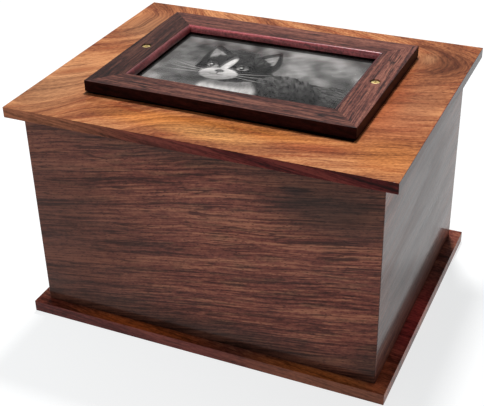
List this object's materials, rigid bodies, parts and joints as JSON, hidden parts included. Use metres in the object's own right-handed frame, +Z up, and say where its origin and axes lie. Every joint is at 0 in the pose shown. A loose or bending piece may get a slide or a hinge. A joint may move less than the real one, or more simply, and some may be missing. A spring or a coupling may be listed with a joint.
{
  "type": "pet cremation urn",
  "caption": "Rectangular rosewood urn box on a base board, with an overhanging lift-off lid that carries a framed and glazed photo held by brass screws.",
  "frame": {"origin": "on the surface that the urn stands on, under the middle of the whole urn", "axes": "+X along the long side, to the right seen from the front, +Y from the front panel to the back, +Z up"},
  "size_m": [0.25, 0.195, 0.1625],
  "materials": {
    "box_wood": "dark rosewood, satin lacquer",
    "lid_wood": "golden figured rosewood, satin lacquer",
    "frame_wood": "blackish rosewood moulding, gloss lacquer",
    "glass": "clear picture glass",
    "print_card": "black and white photo print on card",
    "brass": "bright turned brass"
  },
  "bodies": {
    "root": {"base_board": "box_wood", "front_panel": "box_wood", "right_panel": "box_wood", "back_panel": "box_wood", "left_panel": "box_wood", "lid_board": "lid_wood", "frame_rail_front": "frame_wood", "frame_rail_right": "frame_wood", "frame_rail_back": "frame_wood", "frame_rail_left": "frame_wood", "photo_print": "print_card", "glass_pane": "glass", "brass_screw_right": "brass", "brass_screw_left": "brass"}
  },
  "joints": []
}
